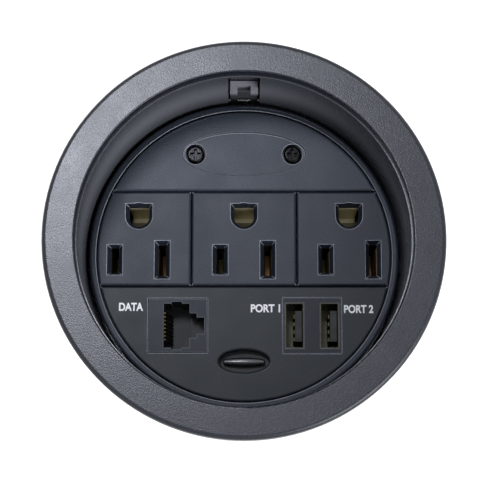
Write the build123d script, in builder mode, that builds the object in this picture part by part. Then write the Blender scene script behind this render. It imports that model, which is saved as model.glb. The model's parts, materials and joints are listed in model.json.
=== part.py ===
from build123d import *
import os
from math import cos, radians, sin

# Round desk power module: a flanged sleeve that drops into a desk hole, and a
# module with three outlets, a data jack and two charging ports that is pulled up
# inside it. Millimetres. +Z is up and +Y points away from the user. The origin is
# the centre of the flange's underside, which is the desk surface.

# ---- flange ----
flange_cover = 4.4  # past the sleeve's thread, over the desk hole's edge
opening_gap = 1.2  # module's rim to the flange's opening
flange_height = 4.0
flange_round = 1.2
lip_round = 0.4
groove_depth = 1.5

# ---- module face ----
recess_depth = 28.0  # flange top to face, and the module's travel
outlet_pitch = 28.2
row_margin = 11.1  # outer outlets' middles to the face plates' round edge
rim_width = 1.82
rim_round = 0.8
face_thickness = 3.2
face_round = 0.6
rim_gap = 0.28  # rim to face plates
seam_gap = 0.22  # between two face plates

# ---- module frame and rear shell ----
shelf_width = 1.6
shelf_thickness = 2.8
bar_half_width = 1.5
skirt_height = 18.0
skirt_wall = 1.6
shell_gap = 0.2
shell_wall = 1.4
cover_thickness = 2.5
stop_gap = 0.3

# ---- sleeve ----
mouth_gap = 0.6  # sleeve wall behind the lip
bead_proud = 0.25
bead_height = 0.8
seat_gap = 0.6  # skirt to sleeve at the seat
ledge_gap = 0.5  # shell to the ledge's hole
ledge_thickness = 3.0
cover_gap = 0.8
sleeve_wall = 1.7
thread_depth = 1.5
thread_pitch = 4.0
collar_height = 8.0
sleeve_tail = 2.2
rim_wall = 2.6
rim_clearance = 0.1
key_width = 5.4
key_depth = 1.9
key_gap = 0.3

# ---- lock ring ----
lock_gap = 0.3
lock_width = 2.3
lock_height = 8.0
lock_notches = 12
lock_notch_width = 9.0
lock_notch_height = 2.6
desk_thickness = 19.0

# ---- support catch ----
catch_top = -14.2
catch_width = 7.4
catch_reach = 0.5  # nose to the passing skirt
nose_depth = 3.3
nose_height = 2.6
plate_depth = 1.6
nose_notch_width = 3.5
nose_notch_depth = 2.0
pocket_side_gap = 0.5
pocket_back_gap = 0.2
pocket_top = -3.0
pad_half_width = 8.0
catch_pin_z = -30.0
catch_pin_diameter = 1.2
catch_pin_length = 12.0
barrel_diameter = 2.0
barrel_gap = 0.075
spring_slot = 3.4
spring_wire = 0.36
spring_length = 2.6
spring_leg = 3.0

# ---- outlets ----
row_top = 17.2
row_bottom = -8.5
blade_spacing = 12.7
blade_y = -1.39
ground_above_blades = 11.9
hot_slot = (2.2, 6.8)
neutral_slot = (2.2, 8.4)
hot_funnel = (4.2, 8.25)
neutral_funnel = (4.2, 10.4)
ground_hole_width = 5.4
ground_hole_rise = 2.7
ground_funnel_width = 7.3
ground_funnel_rise = 3.4
funnel_depth = 1.6
block_depth = 26.0
block_side_gap = 0.9
block_end_gap = 0.2
lug_width = 6.0
lug_reach = 0.8
lug_height = 1.4
lug_drop = 0.2
cavity_width = 3.8
cavity_margin = 0.5
ground_cavity = (9.0, 7.6)
mould_wall = 0.8

# ---- contacts and bus bars ----
strip = 0.6
blade_gap = 1.4
contact_top = 4.2  # below the face
contact_base = 18.0
flare = 0.4
flare_height = 1.6
hot_leaf = 6.0
neutral_leaf = 7.6
pin_gap = 3.0
ramp_height = 4.6
tail_width = 3.0
bus_thickness = 1.0
bus_width = 3.0
hot_bus_shift = -2.3  # from the blades' row
neutral_bus_shift = 2.6
tab_spacing = 8.0
tab_length = 6.0
bus_cover_thickness = 2.0
tab_slot_gap = 0.3
terminal_size = (26.0, 20.0, 10.5)
terminal_bore = 3.6

# ---- fixings ----
screw_spacing = 26.25
screw_y = 27.6
screw_head_diameter = 4.8
screw_head_height = 1.6
screw_head_round = 0.64
cross_recess = (0.75, 2.8)
cross_depth = 0.96
screw_diameter = 2.9
screw_length = 14.0
screw_hole_gap = 0.3
screw_bite_gap = 0.05
pocket_gap = 0.4
plate_recess = (33.0, 11.8)
plate_recess_depth = 0.6
plate_recess_round = 0.3
screw_pocket_depth = 2.0
boss_diameter = 6.5
boss_depth = 12.0
cover_screw_count = 3
cover_screw_diameter = 2.4
cover_screw_length = 9.0
wall_bite = 0.5  # bosses and ribs into the shell's wall
cover_boss_height = 11.5
cover_boss_diameter = 6.0
post_diameter = 5.0
post_places = ((24.0, -3.0), (20.0, 10.0))

# ---- data jack ----
insert_y = -19.1
jack_inset = 10.6  # inwards of the left outlet's middle
jack_frame = (15.5, 14.2)
jack_gap = 0.2  # round it in its window
jack_body = (14.9, 13.4)
jack_depth = 30.0
port_size = (6.9, 11.8)
port_shift = -0.3
port_depth = 12.5
port_notch = (2.8, 0.5)
step_size = ((1.9, 6.6), (2.0, 4.35))
step_depth = 9.0
jack_wires = 8
wire_pitch = 1.02
wire_size = 0.45
wire_rise = 1.7
clip_reach = 0.7
clip_height = 1.4
cap_size = (12.0, 11.0, 5.0)

# ---- charging ports ----
usb_inset = 10.15  # inwards of the right outlet's middle
usb_frame = (15.5, 14.8)
usb_gap = 0.08
usb_body = (15.1, 13.4)
usb_depth = 20.0
usb_spacing = 9.3
usb_shell_size = (5.0, 12.2)
usb_shell_wall = 0.3
usb_shell_depth = 14.0
usb_shell_inset = 0.15
tongue_size = (1.8, 8.2)
tongue_shift = 1.1
tongue_inset = 1.6
usb_contact_count = 4
usb_contact_pitch = 2.05
usb_contact_size = (0.25, 1.0, 8.0)
board_size = (19.0, 17.5)
board_thickness = 1.6
board_margin = 1.0
board_gap = 0.15
transformer_size = (11.0, 10.0, 8.0)
capacitor_diameter = 6.5
capacitor_height = 10.0

# ---- pull handle ----
dish_size = (13.2, 5.9)
dish_depth = 3.4
dish_round = 0.6
dish_y = -28.55
pod_wall = 1.5
pod_depth = 6.4
handle_length = 11.0
handle_diameter = 2.4
handle_end_diameter = 1.3
handle_end_round = 0.4
handle_y = -28.6
handle_inset = 0.6
leg_spacing = 8.0
leg_diameter = 1.6
leg_gap = 0.15
leg_length = 15.4
clip_diameter = 3.4
clip_thickness = 0.8
snap_angles = (-60.0, -90.0, -120.0)
snap_spread = 8.0
snap_wall = 1.2
snap_gap = 0.2
snap_hook = 0.9

# ---- cord gland and data grommet ----
gland_centre = (0.0, 20.0)
cord_bore = 8.8
gland_stem = 12.0
gland_hex = 18.0
gland_flange = 4.2
gland_thread = 13.0
gland_thread_length = 6.0
gland_cap_length = 10.0
gland_nut_height = 3.0
gland_gap = 0.1
grommet_bore = 6.2
grommet_neck = 9.6
grommet_flange = 13.0
grommet_lip = 1.4

# ---- radii and levels worked out from the above ----
plate_radius = outlet_pitch + row_margin
rim_inner = plate_radius + rim_gap
module_radius = rim_inner + rim_width
shelf_inner = rim_inner - shelf_width
skirt_inner = module_radius - skirt_wall
shell_radius = skirt_inner - shell_gap
shell_inner = shell_radius - shell_wall
cover_boss_radius = shell_inner + wall_bite - cover_boss_diameter / 2

opening_radius = module_radius + opening_gap
mouth_radius = opening_radius + mouth_gap
bead_radius = opening_radius - bead_proud
seat_radius = module_radius + seat_gap
ledge_radius = shell_radius + ledge_gap
lower_radius = module_radius + cover_gap
root_radius = mouth_radius + sleeve_wall
crest_radius = root_radius + thread_depth
flange_radius = crest_radius + flange_cover
rim_outer = crest_radius - rim_clearance
rim_inside = rim_outer - rim_wall

face_z = flange_height - recess_depth
shelf_top = face_z - face_thickness
shelf_bottom = shelf_top - shelf_thickness
skirt_bottom = face_z - skirt_height
ledge_bottom = skirt_bottom - ledge_thickness
shell_bottom = ledge_bottom - recess_depth - stop_gap
cover_bottom = shell_bottom - cover_thickness
sleeve_bottom = cover_bottom - sleeve_tail
block_bottom = face_z - block_depth
bus_bottom = block_bottom - bus_thickness
bus_cover_bottom = bus_bottom - bus_cover_thickness
ground_y = blade_y + ground_above_blades
hot_bus_y = blade_y + hot_bus_shift
neutral_bus_y = blade_y + neutral_bus_shift
jack_centre = (jack_inset - outlet_pitch, insert_y)
usb_centre = (outlet_pitch - usb_inset, insert_y)

body_low = row_bottom + bar_half_width + block_end_gap
body_high = row_top - bar_half_width - block_end_gap
half_seam = seam_gap / 2
row_edge = outlet_pitch / 2

nose_front = module_radius + catch_reach
catch_back = nose_front + nose_depth
pocket_back = catch_back + pocket_back_gap
catch_pin_y = catch_back - barrel_diameter / 2

outlet_names = ("left", "centre", "right")
outlet_centres = (-outlet_pitch, 0.0, outlet_pitch)


# ---- helpers: flat outlines, and prisms made from them in the part being built ----
def prism(outline, bottom, top, mode=Mode.ADD):
    """The outline as a prism between two heights, in the part being built."""
    extrude(Plane.XY.offset(bottom) * outline, amount=top - bottom, mode=mode)


def funnel(wide, narrow, bottom, top):
    """A tapering hole from a wide outline at the top to a narrow one at the bottom."""
    sections = [Plane.XY.offset(bottom) * narrow, Plane.XY.offset(top) * wide]
    loft(sections, ruled=True, mode=Mode.SUBTRACT)


def disc(radius, centre=(0, 0)):
    with BuildSketch() as outline:
        with Locations(centre):
            Circle(radius)
    return outline.sketch


def ring(outer, inner, centre=(0, 0)):
    with BuildSketch() as outline:
        with Locations(centre):
            Circle(outer)
            Circle(inner, mode=Mode.SUBTRACT)
    return outline.sketch


def block(size, centre=(0, 0)):
    with BuildSketch() as outline:
        with Locations(centre):
            Rectangle(size[0], size[1])
    return outline.sketch


def ellipse(size, centre):
    with BuildSketch() as outline:
        with Locations(centre):
            Ellipse(size[0] / 2, size[1] / 2)
    return outline.sketch


def hexagon(across_flats, centre):
    with BuildSketch() as outline:
        with Locations(centre):
            RegularPolygon(across_flats / 2, 6, major_radius=False)
    return outline.sketch


def disc_between(radius, x_low, x_high, y_low, y_high):
    """The part of a disc that lies between two lines each way."""
    with BuildSketch() as outline:
        Circle(radius)
        with Locations(((x_low + x_high) / 2, (y_low + y_high) / 2)):
            Rectangle(x_high - x_low, y_high - y_low, mode=Mode.INTERSECT)
    return outline.sketch


def arch(width, rise, centre):
    """A hole with a round bottom and a flat top, rise above its centre."""
    with BuildSketch() as outline:
        with Locations(centre):
            Circle(width / 2)
            Rectangle(width, rise, align=(Align.CENTER, Align.MIN))
    return outline.sketch


def round_top(part, radius):
    fillet(part.faces().sort_by(Axis.Z)[-1].edges(), radius)


screw_places = [(side * screw_spacing / 2, screw_y) for side in (-1, 1)]
cover_screw_places = [
    (cover_boss_radius * cos(radians(a)), cover_boss_radius * sin(radians(a)))
    for a in [90 + 360 * n / cover_screw_count for n in range(cover_screw_count)]
]
posts = [(side * x, y) for side in (-1, 1) for x, y in post_places]


# ---- flange ----
with BuildPart() as bezel:
    prism(ring(flange_radius, opening_radius), 0, flange_height)
    prism(
        ring(rim_outer + rim_clearance, rim_inside - rim_clearance),
        0,
        groove_depth,
        Mode.SUBTRACT,
    )
    top_edges = bezel.faces().sort_by(Axis.Z)[-1].edges().sort_by(SortBy.RADIUS)
    fillet(top_edges[-1], flange_round)
    top_edges = bezel.faces().sort_by(Axis.Z)[-1].edges().sort_by(SortBy.RADIUS)
    fillet(top_edges[0], lip_round)

# ---- sleeve, with parallel ridges standing in for its screw thread ----
thread_top = -collar_height
turns = int((thread_top - sleeve_bottom) / thread_pitch)
ridges = []
for turn in range(turns):
    start = thread_top - turn * thread_pitch
    ridges += [
        (crest_radius, start),
        (root_radius, start - thread_pitch * 0.25),
        (root_radius, start - thread_pitch * 0.5),
        (crest_radius, start - thread_pitch * 0.75),
    ]

with BuildPart() as sleeve:
    with BuildSketch(Plane.XZ) as sleeve_section:
        with BuildLine():
            Polyline(
                (bead_radius, 0),
                (bead_radius, -bead_height),
                (mouth_radius, -2 * bead_height),
                (seat_radius, skirt_bottom),
                (ledge_radius, skirt_bottom),
                (ledge_radius, ledge_bottom),
                (lower_radius, ledge_bottom),
                (lower_radius, sleeve_bottom),
                (root_radius, sleeve_bottom),
                (root_radius, thread_top - turns * thread_pitch),
                *reversed(ridges),
                (crest_radius, 0),
                (rim_outer, 0),
                (rim_outer, groove_depth),
                (rim_inside, groove_depth),
                (rim_inside, 0),
                close=True,
            )
        make_face()
    revolve(axis=Axis.Z)
    # solid pad behind the catch, its pocket and its pin hole
    pad_bottom = catch_pin_z - 2 * barrel_diameter
    prism(
        disc_between(
            crest_radius, -pad_half_width, pad_half_width, mouth_radius, flange_radius
        ),
        pad_bottom,
        thread_top,
    )
    pocket_width = catch_width + 2 * pocket_side_gap
    pocket_depth = pocket_back - ledge_radius
    pocket_bottom = catch_pin_z - barrel_diameter
    with BuildSketch(Plane.XY.offset(pocket_bottom)):
        with Locations((0, pocket_back)):
            Rectangle(pocket_width, pocket_depth, align=(Align.CENTER, Align.MAX))
    extrude(amount=pocket_top - pocket_bottom, mode=Mode.SUBTRACT)
    with Locations(Location((0, catch_pin_y, catch_pin_z), (0, 90, 0))):
        Cylinder(catch_pin_diameter / 2, catch_pin_length, mode=Mode.SUBTRACT)
    # key slot that stops the module turning
    with BuildSketch(Plane.XY.offset(sleeve_bottom)):
        Rectangle(
            module_radius + key_depth + key_gap,
            key_width + 2 * key_gap,
            align=(Align.MIN, Align.CENTER),
        )
    extrude(amount=ledge_bottom - sleeve_bottom, mode=Mode.SUBTRACT)

# ---- support catch, its pin and its spring ----
with BuildPart() as catch:
    with BuildSketch(Plane.YZ) as catch_section:
        with BuildLine():
            Polyline(
                (nose_front, catch_top),
                (nose_front, catch_top - nose_height),
                (catch_back - plate_depth, catch_top - nose_height - nose_depth + plate_depth),
                (catch_back - plate_depth, catch_pin_z),
                (catch_back, catch_pin_z),
                (catch_back, catch_top),
                close=True,
            )
        make_face()
        with Locations((catch_pin_y, catch_pin_z)):
            Circle(barrel_diameter / 2)
            Circle(catch_pin_diameter / 2 + barrel_gap, mode=Mode.SUBTRACT)
    extrude(amount=catch_width / 2, both=True)
    with Locations((0, nose_front, catch_top)):
        Box(
            nose_notch_width,
            2 * nose_notch_depth,
            4 * nose_height,
            mode=Mode.SUBTRACT,
        )
    with Locations((0, catch_pin_y, catch_pin_z)):
        Box(spring_slot, 2 * barrel_diameter, 4 * barrel_diameter, mode=Mode.SUBTRACT)

with BuildPart() as catch_pin:
    with Locations(Location((0, catch_pin_y, catch_pin_z), (0, 90, 0))):
        Cylinder(catch_pin_diameter / 2, catch_pin_length)

coil_radius = (catch_pin_diameter + spring_wire) / 2 + 2 * barrel_gap
with BuildPart() as catch_spring:
    with Locations(Location((0, catch_pin_y, catch_pin_z), (0, 90, 0))):
        Cylinder(coil_radius + spring_wire / 2, spring_length)
        Cylinder(coil_radius - spring_wire / 2, spring_length, mode=Mode.SUBTRACT)
    for side in (-1, 1):
        leg_x = side * (spring_length - spring_wire) / 2
        with Locations((leg_x, catch_pin_y + side * coil_radius, catch_pin_z)):
            Box(
                spring_wire,
                spring_wire,
                spring_leg,
                align=(Align.CENTER, Align.CENTER, Align.MIN),
            )

# ---- lock ring ----
lock_inner = crest_radius + lock_gap
lock_outer = lock_inner + lock_width
with BuildPart() as lock_ring:
    prism(ring(lock_outer, lock_inner), -desk_thickness - lock_height, -desk_thickness)
    # castellations for a spanner in its lower edge
    with BuildSketch(Plane.XY.offset(-desk_thickness - lock_height)):
        with PolarLocations(lock_outer, lock_notches):
            Rectangle(4 * lock_width, lock_notch_width)
    extrude(amount=lock_notch_height, mode=Mode.SUBTRACT)

# ---- module frame: rim, shelf, deck, crossbar and skirt ----
with BuildPart() as module_frame:
    prism(ring(module_radius, rim_inner), shelf_top, face_z)
    round_edge = module_frame.edges().group_by(Axis.Z)[-1].sort_by(SortBy.RADIUS)[-1]
    fillet(round_edge, rim_round)
    prism(ring(module_radius, shelf_inner), shelf_bottom, shelf_top)
    prism(ring(module_radius, skirt_inner), skirt_bottom, shelf_bottom)
    deck_low = row_top - bar_half_width
    prism(
        disc_between(rim_inner, -rim_inner, rim_inner, deck_low, rim_inner),
        shelf_bottom,
        shelf_top,
    )
    bar_low = row_bottom - bar_half_width
    bar_high = row_bottom + bar_half_width
    prism(
        disc_between(rim_inner, -rim_inner, rim_inner, bar_low, bar_high),
        shelf_bottom,
        shelf_top,
    )
    for place in screw_places:
        prism(
            disc((screw_diameter + screw_hole_gap) / 2, place),
            shelf_bottom,
            shelf_top,
            Mode.SUBTRACT,
        )

# ---- upper face plate ----
with BuildPart() as upper_face_plate:
    prism(
        disc_between(
            plate_radius, -plate_radius, plate_radius, row_top + half_seam, plate_radius
        ),
        shelf_top,
        face_z,
    )
    round_top(upper_face_plate, face_round)
    prism(
        ellipse(plate_recess, (0, screw_y)),
        face_z - plate_recess_depth,
        face_z,
        Mode.SUBTRACT,
    )
    fillet(upper_face_plate.edges(Select.LAST).group_by(Axis.Z)[-1], plate_recess_round)
    for place in screw_places:
        prism(
            disc(screw_head_diameter / 2 + pocket_gap, place),
            face_z - screw_pocket_depth,
            face_z,
            Mode.SUBTRACT,
        )
        prism(
            disc((screw_diameter + screw_hole_gap) / 2, place),
            shelf_top,
            face_z,
            Mode.SUBTRACT,
        )

head_bottom = face_z - screw_pocket_depth
head_top = head_bottom + screw_head_height
with BuildPart() as face_screws:
    for place in screw_places:
        prism(disc(screw_head_diameter / 2, place), head_bottom, head_top)
    fillet(face_screws.edges().group_by(Axis.Z)[-1], screw_head_round)
    for place in screw_places:
        prism(disc(screw_diameter / 2, place), head_bottom - screw_length, head_bottom)
        for size in (cross_recess, cross_recess[::-1]):
            prism(block(size, place), head_top - cross_depth, head_top, Mode.SUBTRACT)


# ---- outlet blocks ----
def outlet_block(centre_x, x_low, x_high):
    """One outlet: its face, its body, and the slots and cavities for three contacts."""
    hot = (centre_x - blade_spacing / 2, blade_y)
    neutral = (centre_x + blade_spacing / 2, blade_y)
    ground = (centre_x, ground_y)
    neck_top = face_z - funnel_depth
    with BuildPart() as outlet:
        prism(
            disc_between(
                plate_radius,
                x_low + half_seam,
                x_high - half_seam,
                row_bottom + half_seam,
                row_top - half_seam,
            ),
            shelf_top,
            face_z,
        )
        round_top(outlet, face_round)
        prism(
            disc_between(
                shelf_inner - block_end_gap,
                x_low + block_side_gap,
                x_high - block_side_gap,
                body_low,
                body_high,
            ),
            block_bottom,
            shelf_top,
        )
        lug_top = shelf_bottom - lug_drop
        prism(
            block(
                (lug_width, body_high - body_low + 2 * lug_reach),
                (centre_x, (body_low + body_high) / 2),
            ),
            lug_top - lug_height,
            lug_top,
        )
        for wide, narrow, place in (
            (hot_funnel, hot_slot, hot),
            (neutral_funnel, neutral_slot, neutral),
        ):
            funnel(block(wide, place), block(narrow, place), neck_top, face_z)
            prism(block(narrow, place), shelf_top, neck_top, Mode.SUBTRACT)
            cavity = (cavity_width, narrow[1] + 2 * cavity_margin)
            prism(block(cavity, place), block_bottom, shelf_top, Mode.SUBTRACT)
        hole = arch(ground_hole_width, ground_hole_rise, ground)
        mouth = arch(ground_funnel_width, ground_funnel_rise, ground)
        funnel(mouth, hole, neck_top, face_z)
        prism(hole, shelf_top, neck_top, Mode.SUBTRACT)
        cavity_y = body_high - mould_wall - ground_cavity[1] / 2
        prism(
            block(ground_cavity, (centre_x, cavity_y)),
            block_bottom,
            shelf_top,
            Mode.SUBTRACT,
        )
    return outlet.part


# ---- contacts ----
def blade_contact(centre_x, leaf_width, bus_y):
    """A folded strip: two flared leaves that grip a blade, and a tail to the bus bar."""
    leaf_x = (blade_gap + strip) / 2
    top = face_z - contact_top
    base = face_z - contact_base
    with BuildPart() as contact:
        for side in (-1, 1):
            with BuildSketch(Plane.XZ.offset(-blade_y)) as leaf:
                with BuildLine():
                    Polyline(
                        (centre_x + side * (leaf_x + flare + strip / 2), top),
                        (centre_x + side * (leaf_x + strip / 2), top - flare_height),
                        (centre_x + side * (leaf_x + strip / 2), base),
                        (centre_x + side * (leaf_x - strip / 2), base),
                        (centre_x + side * (leaf_x - strip / 2), top - flare_height),
                        (centre_x + side * (leaf_x + flare - strip / 2), top),
                        close=True,
                    )
                make_face()
            extrude(amount=leaf_width / 2, both=True)
        prism(block((2 * leaf_x + strip, leaf_width), (centre_x, blade_y)), base - strip, base)
        prism(block((strip, tail_width), (centre_x, bus_y)), block_bottom, base)
    return contact.part


def ground_contact(centre_x):
    """A straight leaf and a ramped leaf that grip the round pin, and a tail."""
    far_leaf = ground_y + ground_hole_width / 2
    near_leaf = far_leaf - pin_gap
    top = face_z - contact_top
    base = face_z - contact_base
    with BuildPart() as contact:
        with BuildSketch(Plane.YZ) as section:
            with BuildLine():
                Polyline(
                    (far_leaf, top),
                    (far_leaf + strip, top),
                    (far_leaf + strip, base - strip),
                    (near_leaf - strip, base - strip),
                    (near_leaf - strip, top - ramp_height),
                    (far_leaf - ground_hole_width - strip, top),
                    (far_leaf - ground_hole_width, top),
                    (near_leaf, top - ramp_height),
                    (near_leaf, base),
                    (far_leaf, base),
                    close=True,
                )
            make_face()
        extrude(amount=ground_hole_width / 2, both=True)
        prism(block((tail_width, strip), (0, ground_y)), block_bottom, base - strip)
    return contact.part.moved(Location((centre_x, 0, 0)))


# ---- bus bars, their cover and the terminal block ----
def bus_bar(bus_y, x_low, x_high, tab_x):
    """A flat strip along the row, with one tab down to the terminal block."""
    with BuildPart() as bus:
        prism(
            block((x_high - x_low, bus_width), ((x_low + x_high) / 2, bus_y)),
            bus_bottom,
            block_bottom,
        )
        prism(block((tail_width, strip), (tab_x, bus_y)), bus_bottom - tab_length, bus_bottom)
    return bus.part


row_end = outlet_pitch + blade_spacing / 2 + bus_width / 2
short_end = outlet_pitch - blade_spacing / 2 + bus_width / 2
ground_end = outlet_pitch + bus_width / 2
tabs = (
    (-tab_spacing, hot_bus_y),
    (0.0, neutral_bus_y),
    (tab_spacing, ground_y),
)
tab_slot = (tail_width + 2 * tab_slot_gap, strip + 2 * tab_slot_gap)
hot_bus = bus_bar(hot_bus_y, -row_end, short_end, -tab_spacing)
neutral_bus = bus_bar(neutral_bus_y, -short_end, row_end, 0.0)
ground_bus = bus_bar(ground_y, -ground_end, ground_end, tab_spacing)

with BuildPart() as bus_cover:
    prism(
        disc_between(
            shell_inner - shell_gap,
            -shell_inner,
            shell_inner,
            body_low,
            body_high,
        ),
        bus_cover_bottom,
        bus_bottom,
    )
    for place in tabs:
        prism(block(tab_slot, place), bus_cover_bottom, bus_bottom, Mode.SUBTRACT)

terminal_centre = (0.0, (hot_bus_y + ground_y) / 2)
terminal_bottom = bus_cover_bottom - terminal_size[2]
with BuildPart() as terminal_block:
    prism(block(terminal_size, terminal_centre), terminal_bottom, bus_cover_bottom)
    for place in tabs:
        prism(block(tab_slot, place), bus_bottom - tab_length, bus_cover_bottom, Mode.SUBTRACT)
        prism(
            disc(terminal_bore / 2, place),
            terminal_bottom,
            bus_bottom - tab_length,
            Mode.SUBTRACT,
        )

with BuildPart() as terminal_screws:
    for x, y in tabs:
        screw_z = (terminal_bottom + bus_bottom - tab_length) / 2
        side_y = terminal_centre[1] - terminal_size[1] / 2
        with Locations(Location((x, side_y, screw_z), (90, 0, 0))):
            Cylinder(terminal_bore / 2, strip, align=(Align.CENTER, Align.CENTER, Align.MIN))

# ---- data jack ----
jack_x, jack_y = jack_centre
port_x = jack_x + port_shift
jack_floor = face_z - port_depth
with BuildPart() as data_jack:
    prism(block(jack_frame, jack_centre), shelf_top, face_z)
    prism(block(jack_body, jack_centre), face_z - jack_depth, shelf_top)
    prism(
        block((jack_frame[0] + 2 * clip_reach, tail_width), jack_centre),
        shelf_top - clip_height - lug_drop,
        shelf_top - lug_drop,
    )
    prism(block(port_size, (port_x, jack_y)), jack_floor, face_z, Mode.SUBTRACT)
    prism(
        block((port_notch[0], port_size[1] + 2 * port_notch[1]), (port_x, jack_y)),
        jack_floor,
        face_z,
        Mode.SUBTRACT,
    )
    step_x = port_x + port_size[0] / 2
    for step_width, step_height in step_size:
        prism(
            block((step_width, step_height), (step_x + step_width / 2, jack_y)),
            face_z - step_depth,
            face_z,
            Mode.SUBTRACT,
        )
        step_x += step_width

with BuildPart() as data_jack_contacts:
    wire_x = port_x - port_size[0] / 2
    with BuildSketch(Plane.XZ) as wire_section:
        with BuildLine():
            Polyline(
                (wire_x, face_z - wire_rise),
                (wire_x + wire_size, face_z - wire_rise),
                (wire_x + wire_rise + wire_size, jack_floor),
                (wire_x + wire_rise, jack_floor),
                (wire_x, face_z - wire_rise - wire_size),
                close=True,
            )
        make_face()
    wire = extrude(amount=wire_size / 2, both=True, mode=Mode.PRIVATE)
    with GridLocations(0, wire_pitch, 1, jack_wires):
        with Locations((0, jack_y, 0)):
            add(wire)

with BuildPart() as data_jack_cap:
    cap_top = face_z - jack_depth
    cap_slots = jack_wires // 2
    prism(block(cap_size, jack_centre), cap_top - cap_size[2], cap_top)
    for side in (-1, 1):
        for n in range(cap_slots):
            slot_x = jack_x + (n - (cap_slots - 1) / 2) * 2 * wire_pitch
            slot_y = jack_y + side * cap_size[1] / 2
            prism(
                block((wire_size * 2, 4 * wire_size), (slot_x, slot_y)),
                cap_top - cap_size[2],
                cap_top,
                Mode.SUBTRACT,
            )

# ---- charging ports ----
usb_x, usb_y = usb_centre
ports = [(usb_x + side * usb_spacing / 2, usb_y) for side in (-1, 1)]
shell_top = face_z - usb_shell_inset
shell_floor = shell_top - usb_shell_depth
with BuildPart() as usb_insert:
    prism(block(usb_frame, usb_centre), shelf_top, face_z)
    prism(block(usb_body, usb_centre), face_z - usb_depth, shelf_top)
    prism(
        block((usb_frame[0] + 2 * clip_reach, tail_width), usb_centre),
        shelf_top - clip_height - lug_drop,
        shelf_top - lug_drop,
    )
    for place in ports:
        prism(block(usb_shell_size, place), shell_floor, face_z, Mode.SUBTRACT)


def usb_shell(place):
    """A folded sheet shell, closed at its back."""
    inner = (usb_shell_size[0] - 2 * usb_shell_wall, usb_shell_size[1] - 2 * usb_shell_wall)
    with BuildPart() as shell:
        prism(block(usb_shell_size, place), shell_floor, shell_top)
        prism(block(inner, place), shell_floor + usb_shell_wall, shell_top, Mode.SUBTRACT)
    return shell.part


def usb_tongue(place):
    centre = (place[0] + tongue_shift, place[1])
    with BuildPart() as tongue:
        prism(block(tongue_size, centre), shell_floor + usb_shell_wall, face_z - tongue_inset)
    return tongue.part


def usb_contacts(place):
    """The contact strips on the tongue's inner face."""
    thick, wide, long = usb_contact_size
    strip_x = place[0] + tongue_shift - tongue_size[0] / 2 - thick / 2
    bottom = shell_floor + usb_shell_wall
    with BuildPart() as contacts:
        for n in range(usb_contact_count):
            strip_y = place[1] + (n - (usb_contact_count - 1) / 2) * usb_contact_pitch
            prism(block((thick, wide), (strip_x, strip_y)), bottom, bottom + long)
    return contacts.part


board_top = face_z - usb_depth
board_bottom = board_top - board_thickness
with BuildPart() as charger_board:
    x_low, x_high = usb_x - board_size[0] / 2, usb_x + board_size[0] / 2
    y_low, y_high = usb_y - board_size[1] / 2, usb_y + board_size[1] / 2
    prism(
        disc_between(shell_inner - board_gap, x_low, x_high, y_low, y_high),
        board_bottom,
        board_top,
    )

with BuildPart() as charger_transformer:
    transformer_x = x_low + board_margin + transformer_size[0] / 2
    transformer_centre = (transformer_x, usb_y)
    prism(
        block(transformer_size, transformer_centre),
        board_bottom - transformer_size[2],
        board_bottom,
    )
    fillet(charger_transformer.edges().filter_by(Axis.Z), strip)

with BuildPart() as charger_capacitor:
    capacitor_x = transformer_x + (transformer_size[0] + capacitor_diameter) / 2 + strip
    capacitor = disc(capacitor_diameter / 2, (capacitor_x, usb_y + capacitor_diameter / 2))
    prism(capacitor, board_bottom - capacitor_height, board_bottom)
    fillet(charger_capacitor.edges().group_by(Axis.Z)[0], strip / 2)

# ---- lower face plate ----
legs = [(side * leg_spacing / 2, handle_y) for side in (-1, 1)]
with BuildPart() as lower_face_plate:
    prism(
        disc_between(
            plate_radius,
            -plate_radius,
            plate_radius,
            -plate_radius,
            row_bottom - half_seam,
        ),
        shelf_top,
        face_z,
    )
    round_top(lower_face_plate, face_round)
    pod = (dish_size[0] + 2 * pod_wall, dish_size[1] + 2 * pod_wall)
    prism(ellipse(pod, (0, dish_y)), face_z - pod_depth, shelf_top)
    prism(ellipse(dish_size, (0, dish_y)), face_z - dish_depth, face_z, Mode.SUBTRACT)
    fillet(lower_face_plate.edges(Select.LAST).group_by(Axis.Z)[-1], dish_round)
    for place in legs:
        prism(
            disc(leg_diameter / 2 + leg_gap, place),
            face_z - pod_depth,
            face_z - dish_depth,
            Mode.SUBTRACT,
        )
    for size, centre, gap in (
        (jack_frame, jack_centre, jack_gap),
        (usb_frame, usb_centre, usb_gap),
    ):
        window = (size[0] + 2 * gap, size[1] + 2 * gap)
        prism(block(window, centre), shelf_top, face_z, Mode.SUBTRACT)
    # three snap legs that hook under the shelf
    hook_top = shelf_bottom - lug_drop
    hook_bottom = hook_top - lug_height
    leg_outer = shelf_inner - snap_gap
    for angle in snap_angles:
        with BuildSketch(Plane.XY.offset(hook_bottom)) as hook:
            with Locations(Rotation(0, 0, angle)):
                Rectangle(module_radius, snap_spread, align=(Align.MIN, Align.CENTER))
            Circle(leg_outer + snap_hook, mode=Mode.INTERSECT)
            Circle(leg_outer - snap_wall, mode=Mode.SUBTRACT)
        extrude(amount=lug_height)
        with BuildSketch(Plane.XY.offset(hook_bottom)) as snap_leg:
            with Locations(Rotation(0, 0, angle)):
                Rectangle(module_radius, snap_spread, align=(Align.MIN, Align.CENTER))
            Circle(leg_outer, mode=Mode.INTERSECT)
            Circle(leg_outer - snap_wall, mode=Mode.SUBTRACT)
        extrude(amount=shelf_top - hook_bottom)

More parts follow.
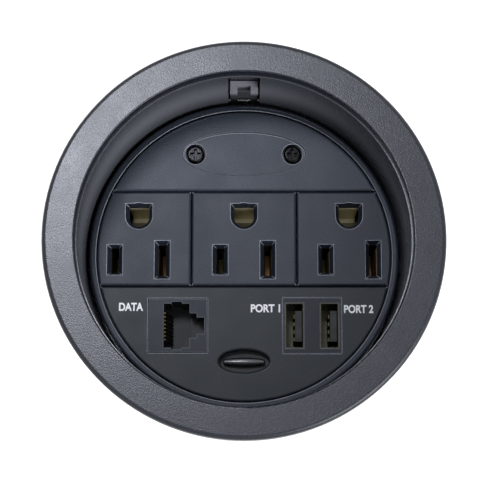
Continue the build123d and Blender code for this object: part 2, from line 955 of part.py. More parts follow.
# ---- pull handle ----
handle_axis = face_z - handle_inset - handle_diameter / 2
leg_end = handle_axis - leg_length
with BuildPart() as pull_handle:
    # a spindle along X, thickest in its middle
    spindle_end = handle_length / 2
    end_top = handle_axis + handle_end_diameter / 2
    with BuildSketch(Plane.XZ.offset(-handle_y)) as spindle_section:
        with BuildLine():
            ThreePointArc(
                (-spindle_end, end_top),
                (0, handle_axis + handle_diameter / 2),
                (spindle_end, end_top),
            )
            Polyline(
                (spindle_end, end_top),
                (spindle_end, handle_axis),
                (-spindle_end, handle_axis),
                (-spindle_end, end_top),
            )
        make_face()
    revolve(axis=Axis((0, handle_y, handle_axis), (1, 0, 0)))
    spindle_rims = pull_handle.edges().group_by(Axis.X)
    fillet(spindle_rims[0] + spindle_rims[-1], handle_end_round)
    for place in legs:
        prism(disc(leg_diameter / 2, place), leg_end, handle_axis)

with BuildPart() as handle_clips:
    for place in legs:
        prism(
            ring(clip_diameter / 2, leg_diameter / 2, place),
            leg_end + clip_thickness,
            leg_end + 2 * clip_thickness,
        )

# ---- rear shell ----
with BuildPart() as rear_shell:
    prism(ring(shell_radius, shell_inner), shell_bottom, shelf_bottom)
    for x, y in screw_places:
        boss_bottom = shelf_bottom - boss_depth
        prism(disc(boss_diameter / 2, (x, y)), boss_bottom, shelf_bottom)
        rib = disc_between(shell_inner + wall_bite, x - strip, x + strip, y, shell_radius)
        prism(rib, boss_bottom, shelf_bottom)
        prism(
            disc(screw_diameter / 2 + screw_bite_gap, (x, y)),
            boss_bottom,
            shelf_bottom,
            Mode.SUBTRACT,
        )
    for place in cover_screw_places:
        prism(disc(cover_boss_diameter / 2, place), shell_bottom, shell_bottom + cover_boss_height)
        prism(
            disc(cover_screw_diameter / 2 + screw_bite_gap, place),
            shell_bottom,
            shell_bottom + cover_boss_height,
            Mode.SUBTRACT,
        )
    # notches for the hooks of the lower face plate
    for angle in snap_angles:
        with BuildSketch(Plane.XY.offset(hook_bottom - lug_drop)):
            with Locations(Rotation(0, 0, angle)):
                Rectangle(
                    module_radius,
                    snap_spread + 4 * snap_gap,
                    align=(Align.MIN, Align.CENTER),
                )
            Circle(leg_outer - snap_wall, mode=Mode.SUBTRACT)
        extrude(amount=shelf_bottom - hook_bottom + lug_drop, mode=Mode.SUBTRACT)

# ---- rear cover: closes the shell and is the stop under the sleeve's ledge ----
with BuildPart() as rear_cover:
    prism(disc(module_radius), cover_bottom, shell_bottom)
    prism(
        block((2 * key_depth, key_width), (module_radius, 0)),
        cover_bottom,
        shell_bottom,
    )
    for place in posts:
        prism(disc(post_diameter / 2, place), shell_bottom, bus_cover_bottom)
    prism(
        disc(gland_stem / 2 + gland_gap, gland_centre),
        cover_bottom,
        shell_bottom,
        Mode.SUBTRACT,
    )
    prism(disc(grommet_neck / 2, jack_centre), cover_bottom, shell_bottom, Mode.SUBTRACT)
    for place in cover_screw_places:
        prism(
            disc((cover_screw_diameter + screw_hole_gap) / 2, place),
            cover_bottom,
            shell_bottom,
            Mode.SUBTRACT,
        )

with BuildPart() as rear_cover_screws:
    for place in cover_screw_places:
        prism(
            disc(cover_screw_diameter, place),
            cover_bottom - cover_screw_diameter / 2,
            cover_bottom,
        )
        prism(
            disc(cover_screw_diameter / 2, place),
            cover_bottom,
            shell_bottom + cover_screw_length,
        )

# ---- cord gland: body, nut inside the cover and clamping cap ----
flange_bottom = cover_bottom - gland_flange
thread_end = flange_bottom - gland_thread_length
nut_top = shell_bottom + gland_nut_height
with BuildPart() as cord_gland:
    prism(disc(gland_stem / 2, gland_centre), cover_bottom, nut_top + strip)
    prism(hexagon(gland_hex, gland_centre), flange_bottom, cover_bottom)
    prism(disc(gland_thread / 2, gland_centre), thread_end, flange_bottom)
    prism(disc(cord_bore / 2, gland_centre), thread_end, nut_top + strip, Mode.SUBTRACT)

with BuildPart() as gland_nut:
    prism(hexagon(gland_hex, gland_centre), shell_bottom, nut_top)
    prism(disc(gland_stem / 2 + gland_gap, gland_centre), shell_bottom, nut_top, Mode.SUBTRACT)

with BuildPart() as gland_cap:
    cap_end = flange_bottom - gland_cap_length
    prism(hexagon(gland_hex, gland_centre), cap_end, flange_bottom)
    fillet(gland_cap.edges().group_by(Axis.Z)[0], strip)
    prism(
        disc(gland_thread / 2 + gland_gap, gland_centre),
        thread_end,
        flange_bottom,
        Mode.SUBTRACT,
    )
    prism(disc(cord_bore / 2, gland_centre), cap_end, thread_end, Mode.SUBTRACT)

with BuildPart() as data_grommet:
    prism(disc(grommet_flange / 2, jack_centre), shell_bottom, shell_bottom + grommet_lip)
    prism(disc(grommet_neck / 2, jack_centre), cover_bottom, shell_bottom)
    prism(disc(grommet_flange / 2, jack_centre), cover_bottom - grommet_lip, cover_bottom)
    prism(
        disc(grommet_bore / 2, jack_centre),
        cover_bottom - grommet_lip,
        shell_bottom + grommet_lip,
        Mode.SUBTRACT,
    )

# ---- write every piece ----
pieces = {
    "bezel": bezel.part,
    "sleeve": sleeve.part,
    "catch": catch.part,
    "catch_pin": catch_pin.part,
    "catch_spring": catch_spring.part,
    "lock_ring": lock_ring.part,
    "module_frame": module_frame.part,
    "upper_face_plate": upper_face_plate.part,
    "lower_face_plate": lower_face_plate.part,
    "face_screws": face_screws.part,
    "hot_bus": hot_bus,
    "neutral_bus": neutral_bus,
    "ground_bus": ground_bus,
    "bus_cover": bus_cover.part,
    "terminal_block": terminal_block.part,
    "terminal_screws": terminal_screws.part,
    "data_jack": data_jack.part,
    "data_jack_contacts": data_jack_contacts.part,
    "data_jack_cap": data_jack_cap.part,
    "usb_insert": usb_insert.part,
    "charger_board": charger_board.part,
    "charger_transformer": charger_transformer.part,
    "charger_capacitor": charger_capacitor.part,
    "pull_handle": pull_handle.part,
    "handle_clips": handle_clips.part,
    "rear_shell": rear_shell.part,
    "rear_cover": rear_cover.part,
    "rear_cover_screws": rear_cover_screws.part,
    "cord_gland": cord_gland.part,
    "gland_nut": gland_nut.part,
    "gland_cap": gland_cap.part,
    "data_grommet": data_grommet.part,
}

row_limits = (-module_radius, -row_edge, row_edge, module_radius)
for n, (name, centre_x) in enumerate(zip(outlet_names, outlet_centres)):
    pieces[f"outlet_{name}"] = outlet_block(centre_x, row_limits[n], row_limits[n + 1])
    pieces[f"hot_contact_{name}"] = blade_contact(
        centre_x - blade_spacing / 2, hot_leaf, hot_bus_y
    )
    pieces[f"neutral_contact_{name}"] = blade_contact(
        centre_x + blade_spacing / 2, neutral_leaf, neutral_bus_y
    )
    pieces[f"ground_contact_{name}"] = ground_contact(centre_x)

for n, place in enumerate(ports, start=1):
    pieces[f"usb_shell_{n}"] = usb_shell(place)
    pieces[f"usb_tongue_{n}"] = usb_tongue(place)
    pieces[f"usb_contacts_{n}"] = usb_contacts(place)

os.makedirs("parts", exist_ok=True)
for name, piece in pieces.items():
    piece.label = name
    export_step(piece, f"parts/{name}.step")
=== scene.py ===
import json
import math
import bpy
import bmesh
from mathutils import Matrix, Vector


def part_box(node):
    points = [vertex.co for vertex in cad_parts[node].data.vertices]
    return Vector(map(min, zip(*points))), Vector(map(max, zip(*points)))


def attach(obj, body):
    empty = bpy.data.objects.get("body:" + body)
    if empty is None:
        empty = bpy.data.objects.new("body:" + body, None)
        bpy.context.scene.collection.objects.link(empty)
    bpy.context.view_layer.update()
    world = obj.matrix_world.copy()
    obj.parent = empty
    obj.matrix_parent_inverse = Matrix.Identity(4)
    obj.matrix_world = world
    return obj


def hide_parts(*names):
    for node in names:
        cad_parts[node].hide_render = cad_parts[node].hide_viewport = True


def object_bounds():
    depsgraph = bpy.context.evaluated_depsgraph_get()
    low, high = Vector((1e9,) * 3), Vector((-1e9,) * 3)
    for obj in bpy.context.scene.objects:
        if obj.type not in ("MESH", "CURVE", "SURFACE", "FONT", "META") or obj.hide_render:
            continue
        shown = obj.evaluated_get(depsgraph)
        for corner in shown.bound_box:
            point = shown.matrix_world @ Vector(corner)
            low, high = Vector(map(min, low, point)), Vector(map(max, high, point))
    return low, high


# A round power module let into a desk: flange, deep well, and a face with outlets and ports.
# Everything is in metres, with +Z up out of the desk and +Y away from the user.

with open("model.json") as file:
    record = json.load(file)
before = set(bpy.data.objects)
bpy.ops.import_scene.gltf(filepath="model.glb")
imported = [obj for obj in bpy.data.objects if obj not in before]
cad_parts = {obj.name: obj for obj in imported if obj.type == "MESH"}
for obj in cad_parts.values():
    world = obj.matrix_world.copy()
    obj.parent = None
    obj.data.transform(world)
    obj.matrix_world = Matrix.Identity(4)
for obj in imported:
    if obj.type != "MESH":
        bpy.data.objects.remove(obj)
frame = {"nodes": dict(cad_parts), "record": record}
cadLow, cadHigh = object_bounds()
mm = 0.001


def linear(colour):  # sRGB hex to the linear values that shaders take
    channels = [int(colour[n:n + 2], 16) / 255 for n in (1, 3, 5)]
    return (*[c / 12.92 if c <= 0.04045 else ((c + 0.055) / 1.055) ** 2.4 for c in channels], 1)


def addNode(tree, kind, inputs=None, **settings):
    node = tree.nodes.new(kind)
    for name, value in settings.items():
        setattr(node, name, value)
    for name, value in (inputs or {}).items():
        if isinstance(value, bpy.types.NodeSocket):
            tree.links.new(value, node.inputs[name])
        else:
            node.inputs[name].default_value = value
    return node


def perSize(size):  # a texture's scale, from the real size of its pattern in millimetres
    return 1 / (size * mm)


def startMaterial(name):
    material = bpy.data.materials.new(name)
    material.use_nodes = True
    tree = material.node_tree
    tree.nodes.clear()
    shader = addNode(tree, "ShaderNodeBsdfPrincipled")
    addNode(tree, "ShaderNodeOutputMaterial", {"Surface": shader.outputs["BSDF"]})
    return material, tree, shader


# camera, a little in front of the module and looking down at it
cameraPlan = {
    "tilt": 10.24,  # degrees from straight down, towards the user
    "distance": 0.4,  # to the middle of the flange's top
    "lens": 115.2,
    "shiftX": 0.012,
    "shiftY": -0.0283,
    "near": 0.01,  # nothing closer than this is drawn
}
target = Vector((0, 0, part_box("bezel")[1].z))
tilt = math.radians(cameraPlan["tilt"])
away = Vector((0, -math.sin(tilt), math.cos(tilt)))
cameraData = bpy.data.cameras.new("camera")
cameraData.lens = cameraPlan["lens"]
cameraData.shift_x = cameraPlan["shiftX"]
cameraData.shift_y = cameraPlan["shiftY"]
cameraData.clip_start = cameraPlan["near"]
camera = bpy.data.objects.new("camera", cameraData)
bpy.context.scene.collection.objects.link(camera)
camera.location = target + away * cameraPlan["distance"]
camera.rotation_euler = (tilt, 0, 0)
bpy.context.scene.camera = camera
bpy.context.scene.view_settings.view_transform = "Standard"
print("camera placed")

# place, size and watts of each soft lamp; both aim at the middle of the flange
lampPlan = {
    "keySoftbox": {
        "place": (-0.185, 0.345, 1.3), "size": (0.26, 0.26), "watts": 7.3, "colour": "#eff3ff",
    },
    "fillSoftbox": {
        "place": (0.744, -0.785, 0.827), "size": (0.9, 0.9), "watts": 13, "colour": "#f8faff",
    },
}
for name, plan in lampPlan.items():
    lampData = bpy.data.lights.new(name, "AREA")
    lampData.shape = "RECTANGLE"
    lampData.size, lampData.size_y = plan["size"]
    lampData.energy = plan["watts"]
    lampData.color = linear(plan["colour"])[:3]
    lamp = bpy.data.objects.new(name, lampData)
    bpy.context.scene.collection.objects.link(lamp)
    lamp.location = plan["place"]
    lamp.rotation_euler = (Vector(plan["place"]) - target).to_track_quat("Z", "Y").to_euler()


def seenBy(tree, rays):  # 1 to the camera and to these rays, 0 to the light on the module
    path = addNode(tree, "ShaderNodeLightPath")
    seen = path.outputs["Is Camera Ray"]
    for ray in rays:
        either = addNode(
            tree, "ShaderNodeMath", {0: seen, 1: path.outputs[ray]}, operation="MAXIMUM"
        )
        seen = either.outputs[0]
    return seen


# dim all round as light, plain white where it is looked at or mirrored
worldPlan = {"colour": "#ffffff", "fill": 0.12, "backdrop": 1.0}
world = bpy.data.worlds.new("studio")
bpy.context.scene.world = world
world.use_nodes = True
worldTree = world.node_tree
worldTree.nodes.clear()
worldSeen = seenBy(worldTree, ("Is Glossy Ray", "Is Transmission Ray"))
worldSides = [
    addNode(
        worldTree,
        "ShaderNodeBackground",
        {"Color": linear(worldPlan["colour"]), "Strength": worldPlan[side]},
    )
    for side in ("fill", "backdrop")
]
worldMix = addNode(
    worldTree,
    "ShaderNodeMixShader",
    {0: worldSeen, 1: worldSides[0].outputs[0], 2: worldSides[1].outputs[0]},
)
addNode(worldTree, "ShaderNodeOutputWorld", {"Surface": worldMix.outputs[0]})

floorPlan = {
    "width": 6.0,
    "drop": 0.05 * mm,  # below the module's lowest point
    "colour": "#dededc",
    "roughness": 0.9,
    "sheen": 0.1,
    "glow": 0.8,  # lifts the paper to white for the camera, and lights nothing
}
floorMesh = bmesh.new()
bmesh.ops.create_grid(floorMesh, x_segments=1, y_segments=1, size=floorPlan["width"] / 2)
bmesh.ops.translate(floorMesh, verts=floorMesh.verts, vec=(0, 0, cadLow.z - floorPlan["drop"]))
floorData = bpy.data.meshes.new("floor")
floorMesh.to_mesh(floorData)
floorMesh.free()
floor = bpy.data.objects.new("floor", floorData)
bpy.context.scene.collection.objects.link(floor)
paper, paperTree, paperShader = startMaterial("paleFloorPaper")
paperGlow = addNode(
    paperTree,
    "ShaderNodeMath",
    {0: seenBy(paperTree, ("Is Glossy Ray",)), 1: floorPlan["glow"]},
    operation="MULTIPLY",
)
paperShader.inputs["Base Color"].default_value = linear(floorPlan["colour"])
paperShader.inputs["Roughness"].default_value = floorPlan["roughness"]
paperShader.inputs["Specular IOR Level"].default_value = floorPlan["sheen"]
paperShader.inputs["Emission Color"].default_value = linear("#ffffff")
paperTree.links.new(paperGlow.outputs[0], paperShader.inputs["Emission Strength"])
floorData.materials.append(paper)
print("lamps and floor placed")


# Moulded plastic: a fine sparked grain in tint and bump, a gloss that drifts over the part, and
# on some finishes a painted highlight: pale colour on rounded edges, for the light they catch.
mouldingPlan = {
    "spread": (0.3, 0.7),  # noise levels that give the darkest and the palest spots
    "bumpHeight": 0.5,  # of the grain's size
    "sheen": 0.5,
    "edgeRays": 6,
    "edgeHighlightTurn": (0.998, 0.93),  # cosine of an edge's turn, from no painted highlight to the full one
    "edgeHighlightColour": "#8d929c",
    "skinDepth": 0.4,  # millimetres from a bore to where the outside colour is full
    "paintedLightCover": 0.8,  # how far the painted light band covers the tint at its middle
    "shade": 0.75,  # how far a hollow's bottom is darkened
    "shadeColour": "#08090a",
}


def mouldedPlastic(finish):
    material, tree, shader = startMaterial(finish["name"])
    place = addNode(tree, "ShaderNodeTexCoord").outputs["Object"]
    levels = addNode(tree, "ShaderNodeSeparateXYZ", {"Vector": place})
    drift = addNode(
        tree,
        "ShaderNodeTexNoise",
        {"Vector": place, "Scale": perSize(finish["drift"]), "Detail": 3},
    )
    grain = addNode(
        tree,
        "ShaderNodeTexNoise",
        {"Vector": place, "Scale": perSize(finish["grain"]), "Detail": 2, "Roughness": 0.6},
    )
    tint = addNode(tree, "ShaderNodeValToRGB", {"Fac": grain.outputs["Fac"]})
    stops = tint.color_ramp.elements
    for stop, level, end in zip(stops, mouldingPlan["spread"], ("dark", "light")):
        stop.position = level
        stop.color = linear(finish[end])
    gloss = addNode(
        tree,
        "ShaderNodeMapRange",
        {
            "Value": drift.outputs["Fac"],
            "From Min": mouldingPlan["spread"][0],
            "From Max": mouldingPlan["spread"][1],
            "To Min": finish["roughness"][0],
            "To Max": finish["roughness"][1],
        },
    )
    edge = addNode(
        tree,
        "ShaderNodeBevel",
        {"Radius": finish["edge"] * mm},
        samples=mouldingPlan["edgeRays"],
    )

    layers = []  # how much of each colour lies over the tint, lowest layer first
    # painted highlight: rounded edges get a pale colour that stands for the light they catch
    if "paintedEdgeHighlight" in finish:
        flat = addNode(tree, "ShaderNodeNewGeometry").outputs["Normal"]
        turn = addNode(
            tree,
            "ShaderNodeVectorMath",
            {0: edge.outputs["Normal"], 1: flat},
            operation="DOT_PRODUCT",
        )
        edgeHighlightMask = addNode(
            tree,
            "ShaderNodeMapRange",
            {
                "Value": turn.outputs["Value"],
                "From Min": mouldingPlan["edgeHighlightTurn"][0],
                "From Max": mouldingPlan["edgeHighlightTurn"][1],
                "To Max": finish["paintedEdgeHighlight"],
            },
        )
        layers.append((edgeHighlightMask, finish.get("edgeHighlightColour", mouldingPlan["edgeHighlightColour"])))
    if "paintedLightBand" in finish:  # painted light: a paler band across the bore that stands for soft reflections on the wall
        above = addNode(
            tree,
            "ShaderNodeMath",
            {0: levels.outputs["Z"], 1: finish["paintedLightLevel"] * mm},
            operation="SUBTRACT",
        )
        distance = addNode(tree, "ShaderNodeMath", {0: above.outputs[0]}, operation="ABSOLUTE")
        paintedLightCover = addNode(
            tree,
            "ShaderNodeMapRange",
            {
                "Value": distance.outputs[0],
                "From Min": finish["paintedLightReach"] * mm,
                "From Max": 0.0,
                "To Max": mouldingPlan["paintedLightCover"],
            },
            interpolation_type="SMOOTHSTEP",
        )
        layers.append((paintedLightCover, finish["paintedLightBand"]))
    if "outside" in finish:  # the threaded outside keeps the sleeve's own black; the bore's paler tint is painted light
        across = addNode(tree, "ShaderNodeMapping", {"Vector": place, "Scale": (1, 1, 0)})
        radius = addNode(
            tree, "ShaderNodeVectorMath", {0: across.outputs["Vector"]}, operation="LENGTH"
        )
        outer = addNode(
            tree,
            "ShaderNodeMapRange",
            {
                "Value": radius.outputs["Value"],
                "From Min": finish["bore"] * mm,
                "From Max": (finish["bore"] + mouldingPlan["skinDepth"]) * mm,
            },
        )
        layers.append((outer, finish["outside"]))
    if "deep" in finish:  # hollows go black as the light runs out: axis, from and to
        axis, top, bottom = finish["deep"]
        shade = addNode(
            tree,
            "ShaderNodeMapRange",
            {
                "Value": levels.outputs[axis],
                "From Min": top * mm,
                "From Max": bottom * mm,
                "To Max": mouldingPlan["shade"],
            },
        )
        layers.append((shade, mouldingPlan["shadeColour"]))
    skin = tint.outputs["Color"]
    for amount, colour in layers:
        over = addNode(
            tree,
            "ShaderNodeMixRGB",
            {"Fac": amount.outputs["Result"], "Color1": skin, "Color2": linear(colour)},
        )
        skin = over.outputs["Color"]

    bump = addNode(
        tree,
        "ShaderNodeBump",
        {
            "Height": grain.outputs["Fac"],
            "Strength": finish["bump"],
            "Distance": finish["grain"] * mm * mouldingPlan["bumpHeight"],
            "Normal": edge.outputs["Normal"],
        },
    )
    tree.links.new(skin, shader.inputs["Base Color"])
    tree.links.new(gloss.outputs["Result"], shader.inputs["Roughness"])
    tree.links.new(bump.outputs["Normal"], shader.inputs["Normal"])
    shader.inputs["IOR"].default_value = finish["ior"]
    shader.inputs["Specular IOR Level"].default_value = finish.get("sheen", mouldingPlan["sheen"])
    return material


# Metal: a plated or stamped skin whose roughness wanders, with faint drawing lines along Z.
stampingPlan = {
    "stretch": 0.08,  # the lines' noise along Z, against across
    "tintSpread": (0.25, 0.75),
    "glossSpread": (0.3, 0.7),
    "bump": 0.15,
    "bumpHeight": 0.3,  # of the lines' spacing
    "edgeRays": 4,
}


def stampedMetal(finish):
    material, tree, shader = startMaterial(finish["name"])
    place = addNode(tree, "ShaderNodeTexCoord").outputs["Object"]
    squeeze = addNode(
        tree, "ShaderNodeMapping", {"Vector": place, "Scale": (1, 1, stampingPlan["stretch"])}
    )
    lines = addNode(
        tree,
        "ShaderNodeTexNoise",
        {"Vector": squeeze.outputs["Vector"], "Scale": perSize(finish["lines"]), "Detail": 2},
    )
    tint = addNode(tree, "ShaderNodeValToRGB", {"Fac": lines.outputs["Fac"]})
    stops = tint.color_ramp.elements
    for stop, level, end in zip(stops, stampingPlan["tintSpread"], ("dark", "light")):
        stop.position = level
        stop.color = linear(finish[end])
    gloss = addNode(
        tree,
        "ShaderNodeMapRange",
        {
            "Value": lines.outputs["Fac"],
            "From Min": stampingPlan["glossSpread"][0],
            "From Max": stampingPlan["glossSpread"][1],
            "To Min": finish["roughness"][0],
            "To Max": finish["roughness"][1],
        },
    )
    edge = addNode(
        tree,
        "ShaderNodeBevel",
        {"Radius": finish["edge"] * mm},
        samples=stampingPlan["edgeRays"],
    )
    bump = addNode(
        tree,
        "ShaderNodeBump",
        {
            "Height": lines.outputs["Fac"],
            "Strength": stampingPlan["bump"],
            "Distance": finish["lines"] * mm * stampingPlan["bumpHeight"],
            "Normal": edge.outputs["Normal"],
        },
    )
    tree.links.new(tint.outputs["Color"], shader.inputs["Base Color"])
    tree.links.new(gloss.outputs["Result"], shader.inputs["Roughness"])
    tree.links.new(bump.outputs["Normal"], shader.inputs["Normal"])
    shader.inputs["Metallic"].default_value = 1.0
    return material


# One finish for each material slot of the record, and a few of this scene's own. Sizes are in
# millimetres: grain and drift are how far apart the pattern's spots are, edge is how far a
# corner's roundness reaches, paintedLightLevel and the numbers of deep are levels along the part,
# and paintedLightReach is how far the painted light band takes to fade out.
plasticFinishes = {
    # jet black ABS from a finely sparked tool: a bright sheen broken into pale specks
    "flange_plastic": {
        "name": "sparkedBlackAbs", "dark": "#080c14", "light": "#1a2130",
        "roughness": (0.24, 0.28), "sheen": 0.42, "grain": 0.3, "drift": 9, "bump": 0.2,
        "edge": 0.2, "ior": 1.54,
    },
    # polished ABS wall: painted light for broad soft reflections of the face below, a pale bore
    # and a band
    "sleeve_plastic": {
        "name": "lightPaintedBoreAbs", "dark": "#505359", "light": "#5e6167",
        "roughness": (0.22, 0.3), "sheen": 0.8, "grain": 0.3, "drift": 12, "bump": 0.04,
        "edge": 0.15, "ior": 1.54, "bore": 43.7, "outside": "#1c1d20", "paintedLightBand": "#8d9096",
        "paintedLightLevel": -15, "paintedLightReach": 11,
    },
    # ABS with a soft matt texture, slightly blue: fills with light, hardly shines
    "face_plastic": {
        "name": "mattCharcoalAbs", "dark": "#161b23", "light": "#333a46",
        "roughness": (0.33, 0.39), "sheen": 0.18, "grain": 0.3, "drift": 8, "bump": 0.2,
        "edge": 0.28, "paintedEdgeHighlight": 1.0, "edgeHighlightColour": "#d3d8e2", "ior": 1.54,
        "deep": ("Z", -24.7, -26.2),
    },
    # the same matt ABS, painted a shade paler as painted light on the upper plate
    "lightPaintedUpperPlate": {
        "name": "lightPaintedMattAbs", "dark": "#1e232c", "light": "#424a57", "roughness": (0.33, 0.39),
        "sheen": 0.2, "grain": 0.3, "drift": 8, "bump": 0.2, "edge": 0.28, "paintedEdgeHighlight": 1.0,
        "edgeHighlightColour": "#d3d8e2", "ior": 1.54, "deep": ("Z", -24.7, -26.2),
    },
    # and on the lower plate: painted darker, a little green, as painted shade
    "shadePaintedLowerPlate": {
        "name": "shadePaintedMattAbs", "dark": "#12171b", "light": "#293035", "roughness": (0.33, 0.39),
        "sheen": 0.16, "grain": 0.3, "drift": 8, "bump": 0.15, "edge": 0.28, "paintedEdgeHighlight": 1.0,
        "edgeHighlightColour": "#d3d8e2", "ior": 1.54, "deep": ("Z", -24.7, -26.2),
    },
    # polished ABS on the pull bar, where fingers keep it bright
    "barPlastic": {
        "name": "polishedBlackAbs", "dark": "#1e2127", "light": "#262a31",
        "roughness": (0.24, 0.3), "sheen": 0.9, "grain": 0.3, "drift": 5, "bump": 0.03,
        "edge": 0.15, "ior": 1.54,
    },
    # satin polycarbonate: as dark as the face, with a thin bright outline of painted highlight
    "insert_plastic": {
        "name": "satinPolycarbonate", "dark": "#1a1e26", "light": "#262b34",
        "roughness": (0.32, 0.38), "sheen": 0.12, "grain": 0.3, "drift": 6, "bump": 0.1,
        "edge": 0.3, "paintedEdgeHighlight": 0.6, "edgeHighlightColour": "#b8bdc8", "ior": 1.58,
        "deep": ("Z", -24.6, -27.0),
    },
    # grey acetal with a sparked texture, painted paler than its own grey as painted light from
    # above
    "catch_plastic": {
        "name": "lightPaintedGreyAcetal", "dark": "#92949d", "light": "#a6a8b1",
        "roughness": (0.4, 0.5), "grain": 0.4, "drift": 4, "bump": 0.3, "edge": 0.2,
        "paintedEdgeHighlight": 0.4, "edgeHighlightColour": "#c4c6cf", "ior": 1.48, "deep": ("Z", -15.4, -17.0),
    },
    # plain black polypropylene: slightly waxy, with a wandering gloss
    "shell_plastic": {
        "name": "blackPolypropylene", "dark": "#1d1e20", "light": "#242527",
        "roughness": (0.42, 0.55), "grain": 0.5, "drift": 14, "bump": 0.25, "edge": 0.25,
        "paintedEdgeHighlight": 0.2, "ior": 1.49,
    },
    # glass filled nylon: dull, with a cloudy skin
    "tongue_plastic": {
        "name": "glassFilledNylon", "dark": "#0c0d0e", "light": "#141516",
        "roughness": (0.5, 0.6), "sheen": 0.3, "grain": 0.25, "drift": 3, "bump": 0.2,
        "edge": 0.1, "ior": 1.53,
    },
    # natural nylon: waxy and warm
    "terminal_plastic": {
        "name": "naturalNylon", "dark": "#c3bda9", "light": "#d2cdbb",
        "roughness": (0.45, 0.55), "grain": 0.6, "drift": 10, "bump": 0.1, "edge": 0.2,
        "ior": 1.53,
    },
    # solder mask over woven glass: a green gloss, faintly mottled by the glass below
    "board_laminate": {
        "name": "greenSolderMask", "dark": "#123f22", "light": "#1a5530",
        "roughness": (0.25, 0.32), "grain": 0.8, "drift": 5, "bump": 0.15, "edge": 0.05,
        "ior": 1.55,
    },
    # polyester tape wound over ferrite: yellow, shiny and a little wrinkled
    "transformer_tape": {
        "name": "yellowPolyesterTape", "dark": "#b39a1e", "light": "#c9b02c",
        "roughness": (0.2, 0.3), "grain": 1.2, "drift": 4, "bump": 0.1, "edge": 0.2, "ior": 1.6,
    },
    # shrunk PVC sleeve on an aluminium can: dark blue with a tight gloss
    "capacitor_can": {
        "name": "shrunkPvcSleeve", "dark": "#232a3c", "light": "#2c3550",
        "roughness": (0.22, 0.3), "grain": 1.0, "drift": 5, "bump": 0.08, "edge": 0.1,
        "ior": 1.54,
    },
    # moulded nylon: black, slightly hazy
    "gland_nylon": {
        "name": "hazyBlackNylon", "dark": "#1b1c1e", "light": "#232426",
        "roughness": (0.4, 0.5), "grain": 0.4, "drift": 6, "bump": 0.2, "edge": 0.25,
        "paintedEdgeHighlight": 0.2, "ior": 1.53,
    },
    # soft rubber: no sheen to speak of
    "grommet_rubber": {
        "name": "softBlackRubber", "dark": "#161617", "light": "#1e1e1f",
        "roughness": (0.7, 0.8), "grain": 0.5, "drift": 6, "bump": 0.3, "edge": 0.3, "ior": 1.5,
    },
}
metalFinishes = {
    # black oxide on a steel screw: nearly black, with small hard glints
    "black_steel": {
        "name": "blackOxideSteel", "dark": "#0c0c0c", "light": "#1a1a1b",
        "roughness": (0.12, 0.2), "lines": 0.4, "edge": 0.2,
    },
    # bright zinc plate: pale, slightly cloudy
    "zinc_steel": {
        "name": "brightZincPlate", "dark": "#a2a4a8", "light": "#c4c6c9",
        "roughness": (0.25, 0.35), "lines": 0.3, "edge": 0.1,
    },
    # nickel plate on drawn steel, painted dark olive as painted shade: bright only along its
    # edges
    "port_steel": {
        "name": "shadePaintedNickelPlate", "dark": "#2b2a24", "light": "#3b3a32",
        "roughness": (0.25, 0.35), "lines": 0.25, "edge": 0.15,
    },
    # stamped brass strip, tarnished in store: dull olive brown
    "contact_brass": {
        "name": "tarnishedBrass", "dark": "#bfb89b", "light": "#d8d1b3",
        "roughness": (0.4, 0.5), "lines": 0.3, "edge": 0.1,
    },
    # brass blade leaf, painted brown as painted shade for the slot it sits in
    "shadePaintedNeutralLeaf": {
        "name": "shadePaintedBrass", "dark": "#6c573d", "light": "#826748", "roughness": (0.4, 0.5),
        "lines": 0.3, "edge": 0.1,
    },
    # the same leaf on the other side, painted darker still as painted shade: dark olive
    "shadePaintedHotLeaf": {
        "name": "darkenedBrass", "dark": "#544e38", "light": "#686147", "roughness": (0.4, 0.5),
        "lines": 0.3, "edge": 0.1,
    },
    # thin gold flash on spring wire, painted dull brown as painted shade inside the jack
    "gold_plate": {
        "name": "shadePaintedGoldFlash", "dark": "#3a3424", "light": "#4c4531",
        "roughness": (0.35, 0.45), "lines": 0.2, "edge": 0.05,
    },
}
finishes = {slot: mouldedPlastic(finish) for slot, finish in plasticFinishes.items()}
finishes |= {slot: stampedMetal(finish) for slot, finish in metalFinishes.items()}
ownFinish = {  # nodes that look unlike the rest of their slot
    "pull_handle": "barPlastic",
    "upper_face_plate": "lightPaintedUpperPlate",
    "lower_face_plate": "shadePaintedLowerPlate",
}
for place in ("left", "centre", "right"):
    ownFinish["neutral_contact_" + place] = "shadePaintedNeutralLeaf"
    ownFinish["hot_contact_" + place] = "shadePaintedHotLeaf"
for part in frame["record"]["subparts"]:
    slots = frame["nodes"][part["node"]].data.materials
    slots.clear()
    slots.append(finishes[ownFinish.get(part["node"], part["material_slot"])])
print("finishes on every node")


def finishPiece(name, mesh, material, body):
    piece = bpy.data.objects.new(name, mesh)
    bpy.context.scene.collection.objects.link(piece)
    mesh.materials.clear()
    mesh.materials.append(material)
    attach(piece, body)
    return piece


jackLow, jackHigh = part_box("data_jack")
portLow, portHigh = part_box("usb_insert")
labelPlan = {
    "height": 2.2 * mm,
    "bold": 0.034,  # this and the next in parts of the letters' own size
    "thick": 0.004,
    "sunk": 0.005 * mm,  # into the face, so that no gap shows under the ink
    "ink": "#ffffff",
    "thinInk": "#f2f4f8",
    "thinEnd": 0.45,  # noise level at which the ink is full
    "blotch": 0.5,  # millimetres
    "roughness": 0.35,
    "words": {  # text, width, right end and middle height of each
        "dataLabel": ("DATA", 6.4 * mm, jackLow.x - 0.75 * mm, jackHigh.y - 2.1 * mm),
        "portOneLabel": ("PORT 1", 7.8 * mm, portLow.x, portHigh.y - 2.8 * mm),
        "portTwoLabel": ("PORT 2", 7.8 * mm, portHigh.x + 7.85 * mm, portHigh.y - 3.0 * mm),
    },
}
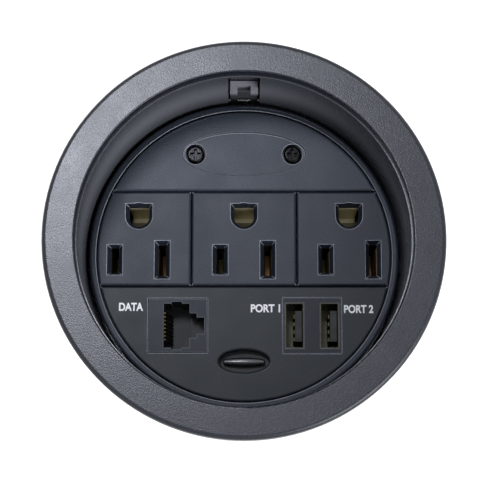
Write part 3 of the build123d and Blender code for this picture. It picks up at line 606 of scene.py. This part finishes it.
# pad-printed ink: thin, opaque and a little uneven
ink, inkTree, inkShader = startMaterial("padPrintedInk")
inkPlace = addNode(inkTree, "ShaderNodeTexCoord").outputs["Object"]
inkWear = addNode(
    inkTree,
    "ShaderNodeTexNoise",
    {"Vector": inkPlace, "Scale": perSize(labelPlan["blotch"]), "Detail": 2},
)
inkTint = addNode(inkTree, "ShaderNodeValToRGB", {"Fac": inkWear.outputs["Fac"]})
inkTint.color_ramp.elements[0].color = linear(labelPlan["thinInk"])
inkTint.color_ramp.elements[1].color = linear(labelPlan["ink"])
inkTint.color_ramp.elements[1].position = labelPlan["thinEnd"]
inkTree.links.new(inkTint.outputs["Color"], inkShader.inputs["Base Color"])
inkShader.inputs["Roughness"].default_value = labelPlan["roughness"]
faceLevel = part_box("lower_face_plate")[1].z
for name, (words, width, right, middle) in labelPlan["words"].items():
    curve = bpy.data.curves.new(name, "FONT")
    curve.body = words
    curve.offset = labelPlan["bold"]
    curve.extrude = labelPlan["thick"]
    typed = bpy.data.objects.new(name + "Typed", curve)
    bpy.context.scene.collection.objects.link(typed)
    bpy.context.view_layer.update()
    mesh = bpy.data.meshes.new_from_object(typed)
    bpy.data.objects.remove(typed)
    low = Vector([min(v.co[n] for v in mesh.vertices) for n in range(3)])
    high = Vector([max(v.co[n] for v in mesh.vertices) for n in range(3)])
    across = width / (high.x - low.x)
    fit = Matrix.Diagonal((across, labelPlan["height"] / (high.y - low.y), across, 1))
    bottom = middle - labelPlan["height"] / 2
    corner = Vector((right - width, bottom, faceLevel - labelPlan["sunk"]))
    mesh.transform(Matrix.Translation(corner) @ fit @ Matrix.Translation(-low))
    finishPiece(name, mesh, ink, "module")
print("labels printed")

# torsion spring behind the catch: close coils on the pin, with a leg up each side
springPlan = {
    "wire": 0.36 * mm,
    "wireSides": 10,
    "coil": 0.93 * mm,  # from the pin's axis to the middle of the wire
    "turns": 5.5,
    "stepsPerTurn": 20,
    "leg": 3.0 * mm,
}
pinLow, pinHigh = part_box("catch_pin")
pinPlace = (pinLow + pinHigh) / 2
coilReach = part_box("catch_spring")[1].x - springPlan["wire"] / 2  # half the coil's length
coilSteps = round(springPlan["turns"] * springPlan["stepsPerTurn"])
spring = bmesh.new()
wireLoop = bmesh.ops.create_circle(
    spring, segments=springPlan["wireSides"], radius=springPlan["wire"] / 2
)["verts"]
start = Vector((pinPlace.x - coilReach, pinPlace.y - springPlan["coil"], pinPlace.z))
bmesh.ops.translate(spring, verts=wireLoop, vec=start)
bmesh.ops.spin(
    spring,
    geom=spring.verts[:] + spring.edges[:],
    cent=pinPlace,
    axis=(1, 0, 0),
    dvec=(2 * coilReach / coilSteps, 0, 0),
    angle=math.tau * springPlan["turns"],
    steps=coilSteps,
)
openEdges = [edge for edge in spring.edges if edge.is_boundary]
drawn = bmesh.ops.extrude_edge_only(spring, edges=openEdges)["geom"]
legVerts = [part for part in drawn if isinstance(part, bmesh.types.BMVert)]
bmesh.ops.translate(spring, verts=legVerts, vec=(0, 0, springPlan["leg"]))
openEnds = [edge for edge in spring.edges if edge.is_boundary]
bmesh.ops.holes_fill(spring, edges=openEnds, sides=0)
bmesh.ops.recalc_face_normals(spring, faces=spring.faces)
for face in spring.faces:
    face.smooth = True
springMesh = bpy.data.meshes.new("woundSpring")
spring.to_mesh(springMesh)
spring.free()
woundSpring = finishPiece("woundSpring", springMesh, finishes["zinc_steel"], "housing")
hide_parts("catch_spring")
print("spring wound")
